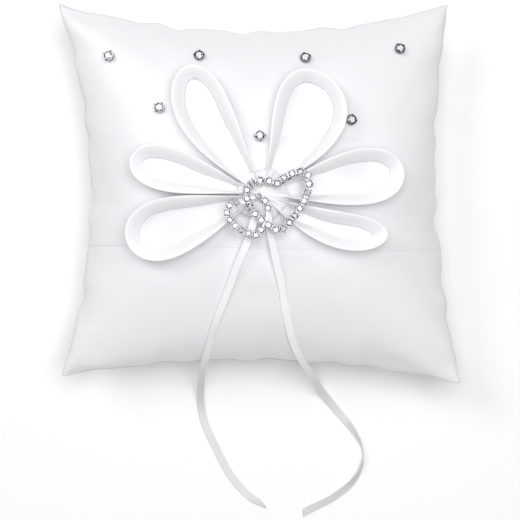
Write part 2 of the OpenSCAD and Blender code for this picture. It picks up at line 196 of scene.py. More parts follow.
def satin(name, color, weave=0.00035, slub=0.5, roughness=0.36, anisotropy=0.55, sheen=0.25,
          paintedShadeColor=None, paintedShadeSpan=(0.075, 0.13)):
    # satin floats run along u: fine ribs across v, long slubs along u, and a soft uneven tone;
    # with an end colour the tone drifts to it between two lengths of u in metres: painted shade
    material, tree, shader = newMaterial(
        name, color, roughness, Anisotropic=anisotropy, Sheen_Weight=sheen,
        Sheen_Roughness=satinLook["sheenRoughness"], Specular_IOR_Level=satinLook["specular"])
    link = tree.links.new
    place = addNode(tree, "ShaderNodeUVMap", uv_map="cloth")
    tangent = addNode(tree, "ShaderNodeTangent", direction_type="UV_MAP", uv_map="cloth")
    link(tangent.outputs["Tangent"], shader.inputs["Tangent"])
    ribs = addNode(tree, "ShaderNodeTexWave", bands_direction="Y", wave_profile="SIN")
    ribs.inputs["Scale"].default_value = 2 * math.pi / (20 * weave)
    ribs.inputs["Distortion"].default_value = satinLook["distortion"]
    stretch = addNode(tree, "ShaderNodeMapping")
    stretch.inputs["Scale"].default_value = satinLook["slubScale"]
    slubs = addNode(tree, "ShaderNodeTexNoise")
    slubs.inputs["Scale"].default_value = 1.0
    slubs.inputs["Detail"].default_value = satinLook["slubDetail"]
    link(place.outputs[0], ribs.inputs["Vector"])
    link(place.outputs[0], stretch.inputs["Vector"])
    link(stretch.outputs[0], slubs.inputs["Vector"])
    height = addNode(tree, "ShaderNodeMath", operation="MULTIPLY_ADD")
    link(slubs.outputs["Fac"], height.inputs[0])
    height.inputs[1].default_value = slub
    link(ribs.outputs["Fac"], height.inputs[2])
    bump = addNode(tree, "ShaderNodeBump")
    bump.inputs["Strength"].default_value = satinLook["bumpStrength"]
    bump.inputs["Distance"].default_value = satinLook["bumpDepth"]
    link(height.outputs[0], bump.inputs["Height"])
    link(bump.outputs[0], shader.inputs["Normal"])
    patches = addNode(tree, "ShaderNodeTexNoise")
    patches.inputs["Scale"].default_value = satinLook["patchScale"]
    link(place.outputs[0], patches.inputs["Vector"])
    tone = addNode(tree, "ShaderNodeMix", data_type="RGBA")
    tone.inputs["A"].default_value = (*[c * satinLook["patchTone"] for c in color], 1)
    tone.inputs["B"].default_value = (*color, 1)
    link(patches.outputs["Fac"], tone.inputs["Factor"])
    # painted shade: with an end colour the base colour is blended towards it along u
    if paintedShadeColor:
        split = addNode(tree, "ShaderNodeSeparateXYZ")
        reach = addNode(tree, "ShaderNodeMapRange")
        reach.inputs["From Min"].default_value, reach.inputs["From Max"].default_value = paintedShadeSpan
        paintedShadeMix = addNode(tree, "ShaderNodeMix", data_type="RGBA")
        paintedShadeMix.inputs["B"].default_value = (*paintedShadeColor, 1)
        link(place.outputs[0], split.inputs[0])
        link(split.outputs["X"], reach.inputs["Value"])
        link(reach.outputs["Result"], paintedShadeMix.inputs["Factor"])
        link(tone.outputs["Result"], paintedShadeMix.inputs["A"])
        tone = paintedShadeMix
    link(tone.outputs["Result"], shader.inputs["Base Color"])
    gloss = addNode(tree, "ShaderNodeMapRange")
    gloss.inputs["To Min"].default_value = roughness - satinLook["glossBelow"]
    gloss.inputs["To Max"].default_value = roughness + satinLook["glossAbove"]
    link(slubs.outputs["Fac"], gloss.inputs["Value"])
    link(gloss.outputs["Result"], shader.inputs["Roughness"])
    return material


metalLook = {"color": (0.25, 0.25, 0.27), "wearScale": 900.0, "gloss": (0.08, 0.24)}


def silver():
    # polished silver plate with faint wear in its gloss
    material, tree, shader = newMaterial(
        "silverPlate", metalLook["color"], metalLook["gloss"][0], Metallic=1.0)
    place = addNode(tree, "ShaderNodeTexCoord")
    wear = addNode(tree, "ShaderNodeTexNoise")
    wear.inputs["Scale"].default_value = metalLook["wearScale"]
    gloss = addNode(tree, "ShaderNodeMapRange")
    gloss.inputs["To Min"].default_value, gloss.inputs["To Max"].default_value = metalLook["gloss"]
    tree.links.new(place.outputs["Object"], wear.inputs["Vector"])
    tree.links.new(wear.outputs["Fac"], gloss.inputs["Value"])
    tree.links.new(gloss.outputs["Result"], shader.inputs["Roughness"])
    return material


glassLook = {
    "color": (0.9, 0.93, 0.96), "roughness": 0.06, "metallic": 0.2, "coatRoughness": 0.02,
    "stops": ((0.3, (0.16, 0.15, 0.16, 1)), (0.5, (0.62, 0.63, 0.66, 1)), (0.66, (0.95, 0.96, 1, 1))),
    "darkest": (0.03, 0.03, 0.04, 1), "lightest": (1, 1, 1, 1),
}


def cutGlass():
    # foil-backed stone: each facet has a painted reflection, a tone from dark to white, under a clear
    # gloss
    material, tree, shader = newMaterial(
        "cutGlass", glassLook["color"], glassLook["roughness"], Metallic=glassLook["metallic"],
        Coat_Weight=1.0, Coat_Roughness=glassLook["coatRoughness"])
    facet = addNode(tree, "ShaderNodeAttribute", attribute_name="paintedFacetReflection")
    ramp = addNode(tree, "ShaderNodeValToRGB")
    stops = ramp.color_ramp
    stops.elements[0].position, stops.elements[0].color = 0.0, glassLook["darkest"]
    stops.elements[1].position, stops.elements[1].color = 1.0, glassLook["lightest"]
    for position, color in glassLook["stops"]:
        stops.elements.new(position).color = color
    tree.links.new(facet.outputs["Fac"], ramp.inputs["Fac"])
    tree.links.new(ramp.outputs["Color"], shader.inputs["Base Color"])
    return material


fibreLook = {"sheen": 0.3, "scale": 2500.0, "detail": 4.0, "depth": 0.0001}


def plainCloth(name, color, roughness):
    # matt fibres: a fine fuzzy noise in tone and bump
    material, tree, shader = newMaterial(name, color, roughness, Sheen_Weight=fibreLook["sheen"])
    place = addNode(tree, "ShaderNodeTexCoord")
    fibres = addNode(tree, "ShaderNodeTexNoise")
    fibres.inputs["Scale"].default_value = fibreLook["scale"]
    fibres.inputs["Detail"].default_value = fibreLook["detail"]
    bump = addNode(tree, "ShaderNodeBump")
    bump.inputs["Distance"].default_value = fibreLook["depth"]
    tree.links.new(place.outputs["Object"], fibres.inputs["Vector"])
    tree.links.new(fibres.outputs["Fac"], bump.inputs["Height"])
    tree.links.new(bump.outputs[0], shader.inputs["Normal"])
    return material


coverSatin = satin("coverSatin", (0.86, 0.86, 0.885))
sashSatin = satin("sashSatin", (0.848, 0.848, 0.873), roughness=0.33)
ribbonSatin = satin("ribbonSatin", (0.94, 0.94, 0.96), weave=0.00028, roughness=0.34, sheen=0.9)
# tie ribbons: near white on the cushion, drifting to grey at the ends, painted shade on the part that
# lies on the table
tieSatin = satin("tieSatin", (0.96, 0.96, 0.975), weave=0.00025, roughness=0.34,
                 paintedShadeColor=(0.67, 0.67, 0.68))
silverPlate = silver()
glassCut = cutGlass()
# the sewing thread is made grey: painted shade for the sewn edge lying in shadow
paintedShadeThread = plainCloth("sewingThreadPaintedShade", (0.68, 0.68, 0.71), 0.6)
fibreCloth = plainCloth("looseFibre", (0.9, 0.9, 0.89), 0.95)

makeStudio()
print("studio and materials made")

# the two free ends, from under the hearts over the front edge to the table, in metres
tie = {
    "width": 0.0035, "thickness": 0.0003, "steps": 240, "across": 5, "margin": 0.06,
    "left": np.array([
        (-0.0015, -0.009, 0.064), (-0.0026, -0.013, 0.064), (-0.004, -0.018, 0.0635),
        (-0.006, -0.024, 0.0625), (-0.0085, -0.03, 0.0608), (-0.0115, -0.037, 0.058),
        (-0.0145, -0.045, 0.0548), (-0.0178, -0.0535, 0.0515), (-0.0203, -0.06, 0.0488),
        (-0.0226, -0.0665, 0.0458), (-0.0246, -0.073, 0.0415), (-0.0262, -0.079, 0.036),
        (-0.0274, -0.0835, 0.03), (-0.0284, -0.0875, 0.023), (-0.0292, -0.092, 0.015),
        (-0.0298, -0.097, 0.0075), (-0.03, -0.102, 0.003), (-0.0296, -0.1075, 0.001),
        (-0.0283, -0.114, 0.0006), (-0.0258, -0.12, 0.0006), (-0.0225, -0.127, 0.0006),
        (-0.0172, -0.1375, 0.0006), (-0.0132, -0.1435, 0.0006), (-0.0094, -0.148, 0.0006),
        (-0.004, -0.1528, 0.0006), (0.0015, -0.1554, 0.0006)]),
    "right": np.array([
        (0.003, -0.009, 0.064), (0.0038, -0.013, 0.064), (0.0047, -0.018, 0.0636),
        (0.0057, -0.024, 0.0626), (0.0072, -0.031, 0.0603), (0.0092, -0.0395, 0.057),
        (0.0108, -0.0475, 0.0538), (0.012, -0.0555, 0.0508), (0.0134, -0.062, 0.048),
        (0.0149, -0.0685, 0.0446), (0.0168, -0.074, 0.0405), (0.0192, -0.079, 0.0358),
        (0.0218, -0.0835, 0.0295), (0.0244, -0.0875, 0.0225), (0.0274, -0.092, 0.0145),
        (0.03, -0.097, 0.0075), (0.0338, -0.102, 0.003), (0.0384, -0.1078, 0.001),
        (0.0444, -0.115, 0.0006), (0.0495, -0.1228, 0.0008), (0.052, -0.129, 0.0014),
        (0.052, -0.134, 0.0016), (0.0502, -0.1395, 0.0014), (0.0475, -0.1438, 0.001),
        (0.0438, -0.1476, 0.0006), (0.0393, -0.151, 0.0006), (0.0344, -0.154, 0.0006),
        (0.0251, -0.1585, 0.0006), (0.0217, -0.1603, 0.0006)]),
    # turn of the flat about its line, in degrees, at shares of its length
    "leftTurn": ((0, 0.15, 0.28, 0.36, 0.44, 0.6, 0.75, 0.94, 1), (0, 4, 12, 42, 14, 8, 4, 8, 35)),
    "rightTurn": ((0, 0.15, 0.3, 0.42, 0.5, 0.68, 0.74, 0.8, 0.88, 1),
                  (0, 4, 10, 16, 8, 0, -60, -115, -165, -178)),
    "leftCut": 1.4, "rightCut": 0.5, "cutShare": 0.015, "clearance": 0.0001,
}


def tieRibbon(name, side, node):
    # strip carried along the curve: centre + across * side vector, turned about the line by an
    # angle that follows the list; the last stations slide along to make the slanting cut
    path = curveThrough(tie[side], tie["steps"])
    along = unit(np.gradient(path, axis=0))
    flat = unit(np.cross(along, (0, 0, 1)))
    up = np.cross(flat, along)
    share = np.linspace(0, 1, tie["steps"])
    turn = np.radians(np.interp(share, *tie[side + "Turn"]))[:, None]
    across = acrossLines(tie["across"], tie["margin"]) / 2
    direction = flat * np.cos(turn) + up * np.sin(turn)
    nearEnd = np.clip((share - 1 + tie["cutShare"]) / tie["cutShare"], 0, 1)
    cut = nearEnd[:, None] * tie[side + "Cut"] * across[None]
    points = path[:, None] + across[None, :, None] * direction[:, None] * tie["width"] \
        + cut[..., None] * along[:, None] * tie["width"]
    low = tie["thickness"] / 2 + tie["clearance"]
    points[..., 2] = np.maximum(points[..., 2], low)
    run = share * lineLength(path)
    uv = np.stack(np.broadcast_arrays(run[:, None], across[None] * tie["width"]), axis=-1)
    piece = newPiece(name, points, gridFaces(tie["steps"], len(across)), uv)
    thicken(piece, tie["thickness"])
    dress(piece, tieSatin, "tie_satin", node)
    print(name, "length", round(lineLength(path), 4))


tieRibbon("tieRibbonLeft", "left", "tie_ribbon_left")
tieRibbon("tieRibbonRight", "right", "tie_ribbon_right")

coverLow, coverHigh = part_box("front_cover")
cushion = {
    "halfWidth": 0.096, "halfDepth": 0.0915, "sidePull": 0.012, "endPull": 0.0115,
    "cornerPushX": (-0.002, -0.004, -0.0005, 0.002),
    "cornerPushY": (0.0015, 0.0005, 0.0025, -0.0005),
    "bulgeShift": (0.0026, -0.002), "crownPower": 0.6,
    "seam": coverLow[2], "rise": coverHigh[2] - coverLow[2], "drop": 0.033,
    "cells": 104, "flatSide": 0.2, "clothThickness": 0.0005,
    "simCells": 96, "simFrames": 26, "simScale": 10.0, "wrinkleGain": 0.45, "wrinkleLimit": 0.001,
    "scallop": 0.0005, "scallopWaves": (23, 37), "scallopPower": 12,
    "pucker": 0.0004, "puckerReach": 0.008, "puckerSpan": 0.09, "puckerSeed": 3,
    "puckerWaves": (7, 11, 16, 23, 31), "tableGap": 0.0003,
    "quality": 5, "mass": 0.3, "damping": 1.0, "stretch": 60, "shear": 20, "bending": 4.0,
    "pressure": 3.0, "startDome": 0.1, "startBumps": 0.012, "bumpBlur": 14, "seed": 11,
    "fine": 5, "coarse": 70, "fillInset": 0.0011, "fillTrim": 3, "fill": 0.75,
    "seamThread": 0.00035, "seamSides": 8,
}


def blendCorners(values, u, v):
    # value between the four corners, in the order back left, back right, front left, front right
    a, b, c, d = values
    return (a * (1 - u) * (1 + v) + b * (1 + u) * (1 + v)
            + c * (1 - u) * (1 - v) + d * (1 + u) * (1 - v)) / 4


def planPush(u, v):
    # sideways shift of the plan: the corners' own shifts, plus a bulge (1 - v^2) or (1 - u^2)
    return (blendCorners(cushion["cornerPushX"], u, v) + cushion["bulgeShift"][0] * (1 - v * v),
            blendCorners(cushion["cornerPushY"], u, v) + cushion["bulgeShift"][1] * (1 - u * u))


def planReach(u, v):
    # half width less a pull (1 - v^2), half depth less a pull (1 - u^2)
    return (cushion["halfWidth"] - cushion["sidePull"] * (1 - v * v),
            cushion["halfDepth"] - cushion["endPull"] * (1 - u * u))


def crown(u, v):
    # ((1 - u^2)(1 - v^2)) to the crown power
    return (np.maximum(1 - u * u, 0) * np.maximum(1 - v * v, 0)) ** cushion["crownPower"]


def facePoint(u, v):
    # plan: u and v times a reach that shrinks between the corners; height: a crown over the seam
    push, reach = planPush(u, v), planReach(u, v)
    return np.stack([u * reach[0] + push[0], v * reach[1] + push[1],
                     cushion["seam"] + cushion["rise"] * crown(u, v)], axis=-1)


def backPoint(u, v):
    # the face turned down, and flat where it lies on the table
    p = facePoint(u, v)
    p[..., 2] = np.maximum(cushion["seam"] - cushion["drop"] * crown(u, v), cushion["tableGap"])
    return p


def uvOfPlan(x, y):
    # the face parameters under a plan position, by repeated correction
    u, v = np.zeros_like(x), np.zeros_like(y)
    for _ in range(12):
        push, reach = planPush(u, v), planReach(u, v)
        u, v = (x - push[0]) / reach[0], (y - push[1]) / reach[1]
    return np.clip(u, -1, 1), np.clip(v, -1, 1)


def clothLines(count):
    # parameters of evenly spaced cloth rows: equal steps of arc length over the crowned face
    u = np.linspace(-1, 1, 4001)
    p = facePoint(u, np.zeros_like(u))
    run = np.concatenate([[0], np.cumsum(np.linalg.norm(np.diff(p, axis=0), axis=1))])
    return np.interp(np.linspace(0, run[-1], count), run, u)


def blurGrid(values, passes):
    # repeated three-point average in both directions, edges carried on by odd reflection
    for _ in range(passes):
        for axis in (0, 1):
            padded = np.pad(values, [(1, 1) if k == axis else (0, 0) for k in range(3)],
                            mode="reflect", reflect_type="odd")
            parts = [np.take(padded, np.arange(k, k + values.shape[axis]), axis=axis) for k in range(3)]
            values = (parts[0] + 2 * parts[1] + parts[2]) / 4
    return values


def inflatedCloth():
    # two square sheets sewn round the edge and blown up by cloth simulation until the middle
    # has risen to the cushion's own height; returns the face and back grids in metres
    n, scale = cushion["simCells"] + 1, cushion["simScale"]
    line = np.linspace(-1, 1, n)
    a, b = np.meshgrid(line, line, indexing="ij")
    rng = np.random.default_rng(cushion["seed"])
    bumps = blurGrid(rng.normal(0, 1, (n, n, 1)), cushion["bumpBlur"])[..., 0]
    bumps *= cushion["startBumps"] / bumps.std()
    dome = cushion["startDome"] * np.sqrt((1 - a ** 2) * (1 - b ** 2))
    half = cushion["flatSide"] * scale / 2
    face = np.stack([a * half, b * half, dome + bumps], axis=-1)
    back = np.stack([a * half, b * half, bumps - dome], axis=-1)
    faceIndex = np.arange(n * n).reshape(n, n)
    backIndex = faceIndex.copy()
    backIndex[1:-1, 1:-1] = n * n + np.arange((n - 2) ** 2).reshape(n - 2, n - 2)
    points = np.vstack([face.reshape(-1, 3), back[1:-1, 1:-1].reshape(-1, 3)])
    quads = gridFaces(n, n)
    backQuads = backIndex.ravel()[quads][:, ::-1]
    piece = newPiece("simCloth", points, np.vstack([quads, backQuads]))
    cloth = piece.modifiers.new("cloth", "CLOTH")
    settings = cloth.settings
    settings.quality, settings.mass = cushion["quality"], cushion["mass"]
    settings.air_damping = cushion["damping"]
    settings.tension_stiffness = settings.compression_stiffness = cushion["stretch"]
    settings.shear_stiffness, settings.bending_stiffness = cushion["shear"], cushion["bending"]
    settings.use_pressure, settings.uniform_pressure_force = True, cushion["pressure"]
    settings.effector_weights.gravity = 0
    cloth.collision_settings.use_collision = False
    found = np.empty(len(points) * 3)
    for step in range(1, cushion["simFrames"] + 1):
        bpy.context.scene.frame_set(step)
        shaped = piece.evaluated_get(bpy.context.evaluated_depsgraph_get())
        shaped.data.vertices.foreach_get("co", found)
        points = found.reshape(-1, 3) / scale
        if points[n * n // 2, 2] > cushion["rise"]:
            break
    bpy.data.objects.remove(piece)
    bpy.context.scene.frame_set(1)
    print("cloth simulated for", step, "frames, middle at", round(float(points[n * n // 2, 2]), 4))
    return points[:n * n].reshape(n, n, 3), points[backIndex]


def resample(grid, count):
    # grid of points read at count even places in each direction, by straight interpolation
    old, new = np.linspace(0, 1, grid.shape[0]), np.linspace(0, 1, count)
    rows = np.stack([[np.interp(new, old, grid[:, j, k]) for j in range(grid.shape[1])]
                     for k in range(3)], axis=-1).transpose(1, 0, 2)
    return np.stack([[np.interp(new, old, rows[i, :, k]) for i in range(count)]
                     for k in range(3)], axis=-1)


def seamPuckers(u, v, seed):
    # short creases at right angles to the nearest seam: sines along it, times a bell of the
    # distance inward that is gone about 15 mm in, and none at the corners
    rng = np.random.default_rng(seed)
    height = np.zeros_like(u)
    for across, along in ((u, v), (v, u)):
        for side in (-1, 1):
            inward = (1 - side * across) * cushion["puckerSpan"]
            wave = sum(rng.uniform(0.3, 1) * np.sin(k * along * math.pi + rng.uniform(0, 6.28))
                       for k in cushion["puckerWaves"]) / 2.5
            height += wave * np.exp(-(inward / cushion["puckerReach"]) ** 2) * (1 - along ** 4)
    return height


def makeCushion():
    # crown formula, plus the simulated fine wrinkles held under a limit, plus seam creases
    count = cushion["cells"] + 1
    line = clothLines(count)
    u, v = np.meshgrid(line, line, indexing="ij")
    face, back = facePoint(u, v), backPoint(u, v)
    simFace, simBack = inflatedCloth()
    for target, sim in ((face, simFace), (back, simBack)):
        wrinkle = blurGrid(sim, cushion["fine"]) - blurGrid(sim, cushion["coarse"])
        limit = cushion["wrinkleLimit"]
        target += limit * np.tanh(resample(wrinkle, count) * cushion["wrinkleGain"] / limit)
    face[..., 2] += cushion["pucker"] * seamPuckers(u, v, cushion["puckerSeed"]) * (crown(u, v) > 0)
    slow, fast = cushion["scallopWaves"]
    for target in (face, back):
        # small scallops between the stitches, gone 15 mm inside the seam
        for axis, across, along, phase in ((1, v, u, 0.4), (0, u, v, 2.0)):
            wave = np.sin(along * slow + phase) + 0.7 * np.sin(along * fast + 2 * phase)
            target[..., axis] += cushion["scallop"] * wave * np.abs(across) ** cushion["scallopPower"] \
                * (1 - along ** 4)
    edge = np.zeros(u.shape, bool)
    edge[[0, -1]] = edge[:, [0, -1]] = True
    face[edge] = back[edge] = (face[edge] + back[edge]) / 2
    back[..., 2] = np.maximum(back[..., 2], cushion["tableGap"])
    return u, v, face, back


u, v, face, back = makeCushion()
count = cushion["cells"] + 1
flatLine = np.linspace(0, cushion["flatSide"], count)
clothUv = np.stack(np.meshgrid(flatLine, flatLine, indexing="ij"), axis=-1)


def gridNormals(grid):
    # cross product of the two grid directions
    return unit(np.cross(np.gradient(grid, axis=0), np.gradient(grid, axis=1)))


def coverPiece(name, grid, flip, node):
    # one satin cover, its thickness inward, once subdivided
    faces = gridFaces(count, count)
    piece = newPiece(name, grid, faces[:, ::-1] if flip else faces, clothUv)
    thicken(piece, cushion["clothThickness"], -1.0)
    finer = piece.modifiers.new("finer", "SUBSURF")
    finer.levels = finer.render_levels = 1
    dress(piece, coverSatin, "cover_satin", node)


def makeFilling():
    # the stuffing: both cover grids moved in by a millimetre, joined at a blunt edge
    inset, off = cushion["fillInset"], cushion["fillTrim"]
    faceIn = face - gridNormals(face) * inset
    backIn = back + gridNormals(back) * inset
    trim = slice(off, -off)
    top, low = faceIn[trim, trim], backIn[trim, trim]
    m = top.shape[0]
    quads = gridFaces(m, m)
    edge = np.concatenate([np.arange(m - 1) * m, (m - 1) * m + np.arange(m - 1),
                           np.arange(m - 1, 0, -1) * m + m - 1, np.arange(m - 1, 0, -1)])
    following = np.roll(edge, -1)
    rim = np.stack([edge, edge + m * m, following + m * m, following], axis=1)
    points = np.vstack([top.reshape(-1, 3), low.reshape(-1, 3)])
    piece = newPiece("filling", points, np.vstack([quads, quads[:, ::-1] + m * m, rim[:, ::-1]]))
    dress(piece, fibreCloth, "fibre_fill", "fibre_fill")


makeFilling()
coverPiece("frontCover", face, False, "front_cover")
coverPiece("backCover", back, True, "back_cover")


def makeEdgeSeam():
    # a thin rolled ridge along the sewn edge: a circle carried round the outline
    ring = np.vstack([face[:-1, 0], face[-1, :-1], face[:0:-1, -1], face[0, :0:-1]])
    along = unit(np.roll(ring, -1, axis=0) - np.roll(ring, 1, axis=0))
    out = unit(np.cross(along, (0, 0, 1)))
    up = np.cross(out, along)
    radius, sides = cushion["seamThread"], cushion["seamSides"]
    angle = np.linspace(0, 2 * math.pi, sides, endpoint=False)
    points = ring[:, None] + radius * (np.cos(angle)[None, :, None] * out[:, None]
                                       + np.sin(angle)[None, :, None] * up[:, None])
    piece = newPiece("edgeSeam", points, gridFaces(len(ring), sides, True, True)[:, ::-1])
    # the seam's grey colour is painted shade along the edge
    dress(piece, paintedShadeThread, "thread", "edge_seam_thread")


makeEdgeSeam()
print("cushion made")


def onFace(x, y, lift=0.0):
    # point of the finished face over a plan position, raised along its normal
    a, b = uvOfPlan(np.asarray(x, float), np.asarray(y, float))
    row = np.interp(a, u[:, 0], np.arange(count))
    col = np.interp(b, u[:, 0], np.arange(count))
    r, c = np.clip(row.astype(int), 0, count - 2), np.clip(col.astype(int), 0, count - 2)
    fr, fc = (row - r)[..., None], (col - c)[..., None]
    normals = gridNormals(face)

    def read(grid):
        return (grid[r, c] * (1 - fr) * (1 - fc) + grid[r + 1, c] * fr * (1 - fc)
                + grid[r, c + 1] * (1 - fr) * fc + grid[r + 1, c + 1] * fr * fc)
    return read(face) + lift * unit(read(normals)), unit(read(normals))


sash = {"width": 0.053, "angle": -1.1, "shift": -0.0002, "lift": 0.00021, "thickness": 0.0001,
        "along": 200, "across": 41, "fold": 0.00012, "edgeTuck": 0.85,
        "endShare": 0.997, "folds": ((5, 0.4), (8, 2.1), (13, 4.0))}


def makeSash():
    # rows from seam to seam, columns across; each point sits on the face at a small lift, with
    # long shallow folds along it and both edges lying closer
    rows = np.linspace(-1, 1, sash["along"])
    cols = acrossLines(sash["across"])
    a, w = np.meshgrid(rows, cols, indexing="ij")
    slope = math.tan(math.radians(sash["angle"]))
    v = np.zeros_like(a)
    ends = sash["endShare"] * np.sin(a * math.pi / 2)
    for _ in range(10):
        push, reach = planPush(ends, v), planReach(ends, v)
        x = ends * reach[0] + push[0]
        v = (w * sash["width"] / 2 + slope * x + sash["shift"] - push[1]) / reach[1]
    push, reach = planPush(ends, v), planReach(ends, v)
    x, y = ends * reach[0] + push[0], v * reach[1] + push[1]
    folds = sum(np.sin(w * k + p + 1.2 * np.sin(a * 2 + k)) for k, p in sash["folds"])
    fold = sash["fold"] * folds * np.abs(a) ** 2
    lift = sash["lift"] * (1 - sash["edgeTuck"] * np.abs(w) ** 4)
    base, normal = onFace(x, y)
    points = base + normal * (lift + np.abs(fold))[..., None]
    steps = np.diff(points[:, len(cols) // 2], axis=0)
    run = np.concatenate([[0], np.cumsum(np.linalg.norm(steps, axis=1))])
    uv = np.stack(np.broadcast_arrays(run[:, None], cols[None] * sash["width"] / 2), axis=-1)
    piece = newPiece("sashBand", points, gridFaces(sash["along"], len(cols)), uv)
    thicken(piece, sash["thickness"])
    dress(piece, sashSatin, "sash_satin", "sash")
    print("sash made, length", round(float(run[-1]), 4))


makeSash()

bow = {
    "middle": (0.001, -0.002), "ribbon": 0.010, "thickness": 0.0003, "rise": 0.0081, "lean": 0.0056,
    "flare": (8, 74), "openAt": 0.6, "leanWave": 0.0007, "riseWave": 0.0005,
    "rootRadius": 0.006, "rootRise": 0.005, "lift": 0.00035, "stations": 150, "across": 11,
    "gatherRadius": 0.012, "gatherFall": 0.0045, "pleatHeight": 0.0007,
    "gatherRows": 40, "gatherCols": 180, "gatherStart": 0.04, "pleats": (11, 23), "seed": 20,
    # direction in degrees, length, width, taper and sideways bend of each loop
    "loops": {
        "upper_left": (121.5, 0.071, 0.026, 1.35, 0.0032),
        "upper_right": (64, 0.0645, 0.035, 1.6, -0.0038),
        "left": (164.5, 0.0645, 0.021, 1.9, 0.0),
        "lower_left": (198.5, 0.0675, 0.0285, 1.7, 0.0005),
        "right": (10, 0.068, 0.0265, 1.6, 0.0006),
        "lower_right": (-18.5, 0.062, 0.0175, 1.35, -0.0042)},
}


def teardrop(a, length, width, taper, bend):
    # x = L (1 - cos a) / 2, y = W / 2 / peak * sin a * sin(a / 2) to the taper, with the middle
    # moved sideways by a half sine; peak is the largest value of the two sines' product
    x = length * (1 - np.cos(a)) / 2
    peak = 2 * ((1 + taper) / (2 + taper)) ** ((1 + taper) / 2) / math.sqrt(2 + taper)
    y = width / 2 / peak * np.sin(a) * np.abs(np.sin(a / 2)) ** taper
    return np.stack([x, y + bend * np.sin(math.pi * x / length)], axis=-1)


def bowLoop(key, seed):
    # ribbon on edge round the teardrop: foot on the face, rim leaning out and gently waved
    angle, length, *shape = bow["loops"][key]
    start = math.acos(1 - 2 * bow["rootRadius"] / length)
    a = np.linspace(start, 2 * math.pi - start, bow["stations"])
    rim = teardrop(a, length, *shape)
    tangent = unit(teardrop(a + 0.01, length, *shape) - teardrop(a - 0.01, length, *shape))
    out = np.stack([-tangent[:, 1], tangent[:, 0]], axis=-1)
    opened = np.sin(math.pi / 2 * np.minimum(1, rim[:, 0] / length / bow["openAt"])) ** 2
    wave = smoothNoise(seed, len(a), (2, 3, 5, 8)) * opened
    lean = bow["lean"] * opened + bow["leanWave"] * wave
    rise = bow["rootRise"] + (bow["rise"] - bow["rootRise"]) * opened \
        + bow["riseWave"] * smoothNoise(seed + 1, len(a), (2, 4, 7)) * opened
    w = np.linspace(0, 1, bow["across"])
    arc = np.radians(np.interp(w, (0, 1), bow["flare"]))
    side = (np.cos(arc[0]) - np.cos(arc)) / (np.cos(arc[0]) - np.cos(arc[-1]))
    tall = (np.sin(arc) - np.sin(arc[0])) / (np.sin(arc[-1]) - np.sin(arc[0]))
    offset = lean[:, None] * (side[None] - 1)
    plan = rim[:, None] + out[:, None] * offset[..., None]
    turn = math.radians(angle)
    x = bow["middle"][0] + plan[..., 0] * math.cos(turn) - plan[..., 1] * math.sin(turn)
    y = bow["middle"][1] + plan[..., 0] * math.sin(turn) + plan[..., 1] * math.cos(turn)
    ground = onFace(x[:, 0], y[:, 0])[0][:, 2]
    z = ground[:, None] + bow["lift"] + rise[:, None] * tall[None]
    points = np.stack([x, y, z], axis=-1)
    run = np.concatenate([[0], np.cumsum(np.linalg.norm(np.diff(points[:, 5], axis=0), axis=1))])
    uv = np.stack(np.broadcast_arrays(run[:, None], w[None] * bow["ribbon"]), axis=-1)
    name = "bowLoop" + key.title().replace("_", "")
    piece = newPiece(name, points, gridFaces(bow["stations"], bow["across"]), uv)
    thicken(piece, bow["thickness"])
    dress(piece, ribbonSatin, "ribbon_satin", "bow_loop_" + key)
    print(name, "ribbon length", round(float(run[-1]), 4))


for number, key in enumerate(bow["loops"]):
    bowLoop(key, bow["seed"] + 3 * number)


def makeBowCentre():
    # gathered roots: a shallow dome that breaks outwards into radiating pleats,
    # r = R t, z = top - fall t^2 + pleat height t^1.5
    low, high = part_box("bow_centre")
    middle = (np.array(low) + np.array(high)) / 2
    rows, cols = bow["gatherRows"], bow["gatherCols"]
    t = np.linspace(bow["gatherStart"], 1, rows)[:, None]
    angle = np.linspace(0, 2 * math.pi, cols, endpoint=False)[None]
    wide, narrow = bow["pleats"]
    pleat = np.sin(wide * angle + 1.8 * np.sin(2 * angle + 1) + 1.2 * t) \
        + 0.45 * np.sin(narrow * angle + 2 * np.sin(3 * angle))
    r = bow["gatherRadius"] * t * (1 + 0.07 * np.sin(5 * angle + 2))
    z = high[2] - bow["gatherFall"] * t ** 2 + bow["pleatHeight"] * pleat * t ** 1.5
    points = np.stack([middle[0] + r * np.cos(angle), middle[1] + r * np.sin(angle), z], axis=-1)
    uv = np.stack(np.broadcast_arrays(t * bow["gatherRadius"], angle * bow["gatherRadius"]), axis=-1)
    faces = [list(f) for f in gridFaces(rows, cols, False, True)] + [list(range(cols))]
    piece = newPiece("bowCentre", points, faces, uv)
    thicken(piece, bow["thickness"])
    dress(piece, ribbonSatin, "ribbon_satin", "bow_centre")


makeBowCentre()
print("bow made")

